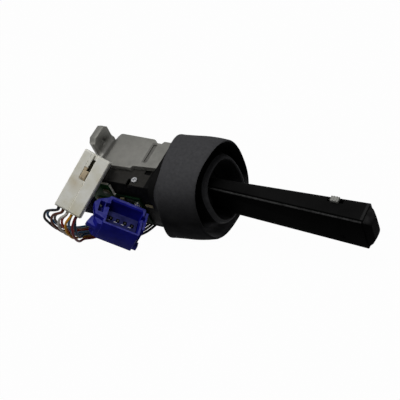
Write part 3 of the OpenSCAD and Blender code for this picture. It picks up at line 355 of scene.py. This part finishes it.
def dress(node, material):
    """Give a solid its material, smooth shading and eased edges. Its mesh isn't changed."""
    o = NODES[node]
    o.data.materials.clear()
    o.data.materials.append(material)
    o.data.polygons.foreach_set("use_smooth", [True] * len(o.data.polygons))
    weld = o.modifiers.new("weld", "WELD")
    weld.merge_threshold = WELD
    if node in BEVEL:
        v = o.modifiers.new("bevel", "BEVEL")
        v.width = BEVEL[node] * mm
        v.segments = 2
        v.limit_method = "ANGLE"
        v.angle_limit = math.radians(BEVEL_ANGLE)
    sharp_by_angle(o, SOLID_ANGLE)


for key, names in USES.items():
    for name in names.split():
        dress(name, M[key])


def mesh_object(name, verts, faces, material, body, degrees):
    """A smooth-shaded piece that rides on a body."""
    me = bpy.data.meshes.new(name)
    me.from_pydata(verts, [], faces)
    me.update()
    bm = bmesh.new()
    bm.from_mesh(me)
    bmesh.ops.recalc_face_normals(bm, faces=bm.faces)
    bm.to_mesh(me)
    bm.free()
    me.polygons.foreach_set("use_smooth", [True] * len(me.polygons))
    o = bpy.data.objects.new(name, me)
    scene.collection.objects.link(o)
    me.materials.append(material)
    sharp_by_angle(o, degrees)
    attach(o, body)
    return o


# Small parts of the white plug, and painted shade and glints on the blue socket


def corner_of(values):
    """A corner, or the end of an edge, from its side (0 or 1) on each axis."""
    return tuple(values[axis] for axis in range(3))


def block(name, boxes, material, place=None, ease=0.3, node=None):
    """Boxes with eased edges, in a plug's own axes or in the pivot's, joined to one piece."""
    verts, faces = [], []
    for lo, hi in boxes:
        e = min([ease] + [0.45 * (b - a) for a, b in zip(lo, hi)])
        corner = {}
        for side in product((0, 1), repeat=3):
            for axis in range(3):
                inset = [0 if m == axis else (-e if s else e) for m, s in enumerate(side)]
                q = [(hi if s else lo)[m] + inset[m] for m, s in enumerate(side)]
                corner[side, axis] = len(verts)
                verts.append(at(*(placed(q, *place) if place else q)))
        for axis in range(3):
            u, v = [m for m in range(3) if m != axis]
            for s in (0, 1):
                ring = [corner_of({axis: s, u: a, v: b}) for a, b in ((0, 0), (1, 0), (1, 1), (0, 1))]
                faces.append([corner[side, axis] for side in ring])
            for a, b in product((0, 1), repeat=2):
                near, far = [corner_of({axis: c, u: a, v: b}) for c in (0, 1)]
                faces.append([corner[near, u], corner[far, u], corner[far, v], corner[near, v]])
        for side in product((0, 1), repeat=3):
            faces.append([corner[side, m] for m in range(3)])
    o = mesh_object(name, verts, faces, material, "housing", BLOCK_ANGLE)
    if node:
        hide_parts(node)
    return o


DASH_EASE = 0.12


def dashes(name, spots, size, material, place):
    """Small eased bars at the given centres."""
    boxes = [([c - s / 2 for c, s in zip(p, size)], [c + s / 2 for c, s in zip(p, size)]) for p in spots]
    return block(name, boxes, material, place, DASH_EASE)


LATCH = [((-4.1, 2.4, 4.2), (-1.9, 18.6, 7.1)), ((-4.1, 2.4, 4.2), (0.4, 9.6, 7.2)),
         ((-3.6, 3.4, 6.2), (-0.2, 9, 8))]
# The slot's floor, dark olive as painted shade
SLOT = [((-1.8, 9.8, 4.2), (0.6, 20.6, 4.9))]
BRIDGE = [((-4.3, 12, 4.4), (-1.9, 22.4, 7.4))]
STRIP = [((0.7, -22.4, 5.2), (10.2, 22.8, 7.9))]
GUARD = [((-10.1, -22.4, 5.2), (-4.2, 22.4, 7.1)), ((-9.4, -22.2, 5.2), (0.9, 2.2, 7.05))]
plug_parts = [
    block("latch_skin", LATCH, M["tan"], PLUG, 0.35, "white_plug_latch"),
    block("latch_slot", SLOT, M["olive"], PLUG, 0.1),
    block("latch_bridge", BRIDGE, M["white"], PLUG, 0.3),
    block("plug_strip", STRIP, M["white"], PLUG, 0.6),
    block("plug_guard", GUARD, M["white"], PLUG, 0.4),
]

INSERT_TOP = 1.45
HOLE_SIZE, GLINT_SIZE = (2.7, 3, 0.3), (2.2, 0.7, 0.4)
holes = [(k - 1.5) * PITCH for k in range(4)]
hole_spots = [(x, 0.3, INSERT_TOP) for x in holes]
glint_spots = [(x - 1.6, -2, INSERT_TOP) for x in holes]
# Dark bars over the socket's holes, painted shade, and light bars beside them, painted glints
socket_shade_and_glints = [
    dashes("socket_hole_shade", hole_spots, HOLE_SIZE, M["deep"], SOCKET),
    dashes("socket_glints", glint_spots, GLINT_SIZE, M["glint"], SOCKET),
]

# Leads. A route is the first lead's points, and a step is what each next lead in its row adds to them.

HOLDER_END, CLAMP = -24.1, -12
WHITE_ROUTES = (
    ((-91, -57, 19), (-95, -59, 13), (-95, -58.5, 6), (-92.5, -57, -3), (-89, -53, -10.5), (-84, -47.5, -17),
     (-78, -39.5, -21.2), (-73, -29, -21.5), (-72.2, HOLDER_END - 2, -21.5), (-72.2, HOLDER_END, -21.5)),
    ((-91, -54.5, 16.5), (-95, -55.5, 11.5), (-95, -55, 5.5), (-92.5, -54.3, -1.5), (-89, -50.8, -7.5),
     (-84, -45.5, -13.5), (-78, -37.5, -17.8), (-73, -28.5, -18), (-72.2, HOLDER_END - 2, -18),
     (-72.2, HOLDER_END, -18)))
WHITE_STEP = ((4.75, -.5, -3), (5.5, -.5, -3.25), (5.3, -.5, -3), (4.4, -.25, -2.2), (3.5, 0, -1.2),
              (3.25, 0, -.6), (3, 0, -.25), (3, 0, 0), (3, 0, 0), (3, 0, 0))
BLUE_ROUTE = ((-58.5, -42, -13), (-58.5, -39, -18.5), (-55, -33.5, -25), (-49.5, -26.5, -29),
              (-44.8, -19, -29.7), (-43.2, CLAMP - 2.5, -29.7), (-43.2, CLAMP, -29.7))
BLUE_STEP = ((4.2, .9, -3.3), (4, .6, -2.4), (3.8, 0, -.8), (3.4, 0, -.2), (3.1, 0, 0), (3, 0, 0), (3, 0, 0))
WHITE_TONES = ("#101014", "#5e3020", "#d2cfc8", "#e09c1c", "#6a0f18",
               "#1b5f8c", "#9a968f", "#cc3a18", "#6a9cc4", "#10304a")
BLUE_TONES = ("#2a1214", "#101012", "#48423a", "#101012")
PER_ROW, LEAD_RADIUS, LEAD_STEPS, LEAD_SPEC = 5, 0.95, 6, 0.12


def white_points(row, i):
    """One white plug lead, from the plug's end to the holder."""
    start = [placed(((i - 2) * CELL, -PLUG_LENGTH / 2 - out, (0.5 - row) * ROW), *PLUG) for out in (0, 3)]
    return start + [Vector(p) + i * Vector(s) for p, s in zip(WHITE_ROUTES[row], WHITE_STEP)]


def blue_points(i):
    """One blue socket lead, from the socket's underside to the clamp."""
    start = [placed(((i - 1.5) * PITCH, 0, -SOCKET_HEIGHT / 2 - out), *SOCKET) for out in (0, 2.5)]
    return start + [Vector(p) + i * Vector(s) for p, s in zip(BLUE_ROUTE, BLUE_STEP)]


def smooth_path(points):
    """A curve through every point, with the ends kept straight."""
    p = [points[0] * 2 - points[1]] + points + [points[-1] * 2 - points[-2]]
    spans = range(1, len(p) - 2)
    return [catmull(*p[k - 1:k + 3], s / LEAD_STEPS) for k in spans for s in range(LEAD_STEPS)] + [points[-1]]


def lead_material(name, tone):
    """Insulation in one colour, darker in patches."""
    n = Nodes(name)
    base = rgb(tone)
    dark = tuple(0.72 * c for c in base[:3]) + (1,)
    n.link(n.mix(n.span(n.noise(160, 4), 0.35, 0.65, 0, 1), dark, base), n.b.inputs["Base Color"])
    n.link(n.span(n.noise(300, 3), 0.3, 0.7, 0.3, 0.45), n.b.inputs["Roughness"])
    n.link(n.bump(n.noise(1600, 2), 0.3, 0.00003), n.b.inputs["Normal"])
    n.b.inputs["Specular IOR Level"].default_value = LEAD_SPEC
    return n.m


def lead(name, points, tone):
    """A round lead along its route, as a cord."""
    path = [PIVOT + p * mm for p in smooth_path(points)]
    c = bpy.data.curves.new(name + "_line", "CURVE")
    c.dimensions = "3D"
    s = c.splines.new("POLY")
    s.points.add(len(path) - 1)
    for q, v in zip(s.points, path):
        q.co = (*v, 1)
    s.use_smooth = True
    c.bevel_depth = LEAD_RADIUS * mm
    c.bevel_resolution = 4
    c.use_fill_caps = True
    o = bpy.data.objects.new(name + "_skin", c)
    scene.collection.objects.link(o)
    c.materials.append(lead_material(name + "_insulation", tone))
    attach(o, "housing")
    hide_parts(name)


for k, tone in enumerate(WHITE_TONES):
    lead("white_lead_%02d" % (k + 1), white_points(k // PER_ROW, k % PER_ROW), tone)
for k, tone in enumerate(BLUE_TONES):
    lead("blue_lead_%02d" % (k + 1), blue_points(k), tone)

# Boot: the same walls as the source's, on smooth curves. A section is x, half width, half height, squareness,
# centre y and z, lean with y and z, and 1 where the outline turns a corner. Millimetres from the pivot.

FRONT, BACK, WALL, LIP, FLAT, THROAT = 24.4, 14, 2.2, .1, 3.7, 7
RIM, CREST, THROAT_R, SEAT_R = (31, 38.4), (20.4, 23.8), 16.883, 17.59
CORNER = (1,)
BACK_SHAPE = (2.63, -2, 1.7, -.15, .175)
FRONT_SHAPE = (2.5, 1.6, 3.2, .085, .04)
BACK_RING = (-BACK + .4, RIM[0] + 1.4, RIM[1] + 1.2) + BACK_SHAPE
FRONT_RING = (FRONT - 1, RIM[0] + .2, RIM[1] + .1) + FRONT_SHAPE
SEAM = (FRONT - 11.4, RIM[0] - 5.4, RIM[1] - 7.2, 2.5, 2.4, 2.9, .06, -.03)
BEHIND = (SEAM[0] - WALL,) + SEAM[1:]


def neck(x, grow, squareness=4):
    """A section of the squarish opening that the clamp ring holds."""
    return (x, 24.5 + grow, 22.5 + grow, squareness, 0, 0, 0, 0)


def round_section(x, radius):
    """A section of the round seat in the throat."""
    return (x, radius, radius, 2, 0, 0, 0, 0)


def barrel(t, grow):
    """The wall's section between its back ring and its front ring, grown by so many millimetres."""
    v = [a + (b - a) * t for a, b in zip(BACK_RING, FRONT_RING)]
    return (v[0], v[1] + grow, v[2] + grow, *v[3:])


BOOT = [
    neck(-BACK, LIP) + CORNER,
    neck(-BACK, FLAT, 3.6) + CORNER,
    (-BACK - .8, RIM[0] - .4, RIM[1] - .6) + BACK_SHAPE + CORNER,
    barrel(0, 0), barrel(.12, .1), barrel(.35, .4), barrel(.6, .8), barrel(.82, .6), barrel(1, 0) + CORNER,
    (FRONT, RIM[0] - .5, RIM[1] - .5) + FRONT_SHAPE + CORNER,
    (FRONT - .3, RIM[0] - 1.3, RIM[1] - 1.3) + FRONT_SHAPE + CORNER,
    (FRONT - 4, RIM[0] - 2.6, RIM[1] - 3.2, 2.5, 1.7, 3.2, .08, .03),
    (FRONT - 9.4, RIM[0] - 3.8, RIM[1] - 5, 2.5, 1.9, 3.1, .07, 0),
    SEAM + CORNER, BEHIND + CORNER,
    barrel(.72, .7 - WALL), barrel(.5, .7 - WALL), barrel(.3, .3 - WALL),
    (-BACK + 4, RIM[0] - 2, RIM[1] - 2.6, 2.63, -1.4, 1.6, -.06, .1),
    neck(-BACK + WALL, FLAT - 1, 3.6) + CORNER,
    neck(-BACK + WALL, LIP) + CORNER,
]
CREST_Y, CREST_Z, CREST_LEAN = 4.3, 1, -.1
CREST_SHAPE = (2.45, CREST_Y, CREST_Z, .03, CREST_LEAN)
CUFF = [
    SEAM + CORNER,
    (FRONT - 9.4, CREST[0] + 3.2, CREST[1] + 4.2, 2.6, CREST_Y - .9, CREST_Z + 1.2, .05, -.06),
    (FRONT - 2, CREST[0] + 1.6, CREST[1] + 1.8, 2.5, CREST_Y - .1, CREST_Z + .2, .03, CREST_LEAN),
    (FRONT + .6, CREST[0] + .4, CREST[1] + .4) + CREST_SHAPE + CORNER,
    (FRONT + .8, CREST[0] - .4, CREST[1] - .4) + CREST_SHAPE + CORNER,
    (FRONT, CREST[0] - 1.3, CREST[1] - 1.4, 2.45, CREST_Y - .1, CREST_Z, .03, CREST_LEAN),
    (14, THROAT_R + 1.8, THROAT_R + 2.8, 2.4, CREST_Y * .42, CREST_Z / 2, 0, -.04),
    (THROAT + 2, THROAT_R + .5, THROAT_R + .5, 2, .3, .2, 0, 0),
    round_section(THROAT, THROAT_R) + CORNER,
    round_section(THROAT - 2, SEAT_R) + CORNER,
    round_section(THROAT - 1.4, THROAT_R + 2.6) + CORNER,
    (12, THROAT_R + 4.4, THROAT_R + 5.6, 2.4, CREST_Y * .42, CREST_Z / 2, 0, -.03),
    (FRONT - 10, CREST[0] + 1.2, CREST[1] + 1.6, 2.55, CREST_Y - 1, CREST_Z + .8, .04, -.05),
    BEHIND + CORNER,
]

# One figure for each section: 0 wears the piece's own material, 1 the deep one, 2 the funnel's. These are
# copies
# of the rubber in other tones: the deep one darker, painted shade inside the boot, the funnel's in between,
# painted light and shade on its slope, and the cuff's own lighter, painted light on the crest

BOOT_SHADES = "000000000011111111111"
CUFF_SHADES = "11000222111111"
SECTION_STEPS, AROUND = 5, 144


def oval_point(a, b, n, t):
    """A point at angle t of an oval with half sizes a and b. The larger n is, the squarer it is."""
    c, s = math.cos(t), math.sin(t)
    return (a * math.copysign(abs(c) ** (2 / n), c), b * math.copysign(abs(s) ** (2 / n), s))


def loft(name, sections, material, shades):
    """A closed wall through the sections, smooth but for its marked corners."""
    n = len(sections)
    sharp = [len(v) > 8 for v in sections]
    rows, shade = [], []
    for k in range(n):
        q = [sections[(k + d) % n][:8] for d in (-1, 0, 1, 2)]
        if sharp[k]:
            q[0] = tuple(2 * b - c for b, c in zip(q[1], q[2]))
        if sharp[(k + 1) % n]:
            q[3] = tuple(2 * c - b for b, c in zip(q[1], q[2]))
        steps = 1 if sharp[k] and sharp[(k + 1) % n] else SECTION_STEPS
        for s in range(steps):
            shade.append(int(shades[k]))
            rows.append(tuple(catmull(a, b, c, d, s / steps) for a, b, c, d in zip(*q)))
    verts = []
    for x, a, b, m, cy, cz, ly, lz in rows:
        for i in range(AROUND):
            y, z = oval_point(a, b, m, 2 * math.pi * i / AROUND)
            verts.append(at(x + ly * y + lz * z, cy + y, cz + z))
    faces = []
    for k in range(len(rows)):
        m = (k + 1) % len(rows)
        for i in range(AROUND):
            j = (i + 1) % AROUND
            faces.append((k * AROUND + i, k * AROUND + j, m * AROUND + j, m * AROUND + i))
    o = mesh_object(name, verts, faces, material, "housing", LOFT_ANGLE)
    for key in ("deep", "funnel"):
        o.data.materials.append(M[key])
    for f in o.data.polygons:
        f.material_index = shade[f.index // AROUND]
    return o


boot_skin = loft("boot_skin", BOOT, M["rubber"], BOOT_SHADES)
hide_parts("rubber_boot")
cuff_skin = loft("cuff_skin", CUFF, M["cuff"], CUFF_SHADES)
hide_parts("boot_cuff")

# Small parts beside the plug: more of the ledge, the dark bundle behind the plug, and a lug beside the board

SHELF = [((-68.5, -20.3, 13.4), (-60.6, -1, 19.4))]
BUNDLE_DROP = 2.3
BUNDLE = [((-83, -37, 7 - BUNDLE_DROP * k), (-66, -31, 9 - BUNDLE_DROP * k)) for k in range(-1, 6)]
SIDE_LUG = [((-32, -22.4, -3.4), (-24.6, -20.2, -0.6))]
block("ledge_shelf", SHELF, M["housing"], ease=0.4)
block("loom_stub", BUNDLE, M["loom"], ease=0.7)
block("side_lug", SIDE_LUG, M["cream"], ease=0.9)

# Floor, light and background. Camera, glossy and transmission rays meet white, and the object is lit plainly.

FLOOR_HALF, FLOOR_GREY, FLOOR_WHITE = 3, 0.32, 0.98
WORLD_LIGHT, WORLD_SEEN = 0.12, 1.0


def seen_rays(tree):
    """1 for a camera, glossy or transmission ray, 0 for the rays that light the object."""
    rays = tree.nodes.new("ShaderNodeLightPath")
    out = rays.outputs["Is Camera Ray"]
    for kind in ("Is Glossy Ray", "Is Transmission Ray"):
        higher = tree.nodes.new("ShaderNodeMath")
        higher.operation = "MAXIMUM"
        tree.links.new(out, higher.inputs[0])
        tree.links.new(rays.outputs[kind], higher.inputs[1])
        out = higher.outputs[0]
    return out


low = min(cad_lo.z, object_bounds()[0].z)
floor_mesh = bpy.data.meshes.new("floor")
floor_corners = [(FLOOR_HALF * x, FLOOR_HALF * y, low) for x, y in ((-1, -1), (1, -1), (1, 1), (-1, 1))]
floor_mesh.from_pydata(floor_corners, [], [(0, 1, 2, 3)])
floor = bpy.data.objects.new("floor", floor_mesh)
scene.collection.objects.link(floor)
floor_white = bpy.data.materials.new("floor_white")
floor_white.use_nodes = True
ft = floor_white.node_tree
ft.nodes.clear()
out = ft.nodes.new("ShaderNodeOutputMaterial")
matt = ft.nodes.new("ShaderNodeBsdfDiffuse")
matt.inputs["Color"].default_value = (FLOOR_GREY, FLOOR_GREY, FLOOR_GREY, 1)
glow = ft.nodes.new("ShaderNodeEmission")
glow.inputs["Strength"].default_value = 1.0
part = ft.nodes.new("ShaderNodeMath")
part.operation = "MULTIPLY"
part.inputs[1].default_value = FLOOR_WHITE
mixer = ft.nodes.new("ShaderNodeMixShader")
ft.links.new(seen_rays(ft), part.inputs[0])
ft.links.new(part.outputs[0], mixer.inputs[0])
ft.links.new(matt.outputs[0], mixer.inputs[1])
ft.links.new(glow.outputs[0], mixer.inputs[2])
ft.links.new(mixer.outputs[0], out.inputs[0])
floor_mesh.materials.append(floor_white)

world = bpy.data.worlds.new("world")
scene.world = world
world.use_nodes = True
wt = world.node_tree
background = wt.nodes["Background"]
background.inputs["Color"].default_value = (1, 1, 1, 1)
level = wt.nodes.new("ShaderNodeMapRange")
level.inputs["To Min"].default_value = WORLD_LIGHT
level.inputs["To Max"].default_value = WORLD_SEEN
wt.links.new(seen_rays(wt), level.inputs["Value"])
wt.links.new(level.outputs["Result"], background.inputs["Strength"])
scene.view_settings.view_transform = "Standard"


def lamp(name, where, aim, size, watts):
    """A rectangular lamp that looks at a point."""
    d = bpy.data.lights.new(name, "AREA")
    d.shape = "RECTANGLE"
    d.size, d.size_y = size
    d.energy = watts
    o = bpy.data.objects.new(name, d)
    scene.collection.objects.link(o)
    o.location = where
    o.rotation_mode = "QUATERNION"
    o.rotation_quaternion = (Vector(where) - Vector(aim)).to_track_quat("Z", "Y")


MIDDLE = at(20, 0, 0)
lamp("key", at(40, 60, 920), MIDDLE, (0.5, 0.4), 6)
lamp("fill", at(-500, -600, 800), MIDDLE, (0.7, 0.7), 0.8)
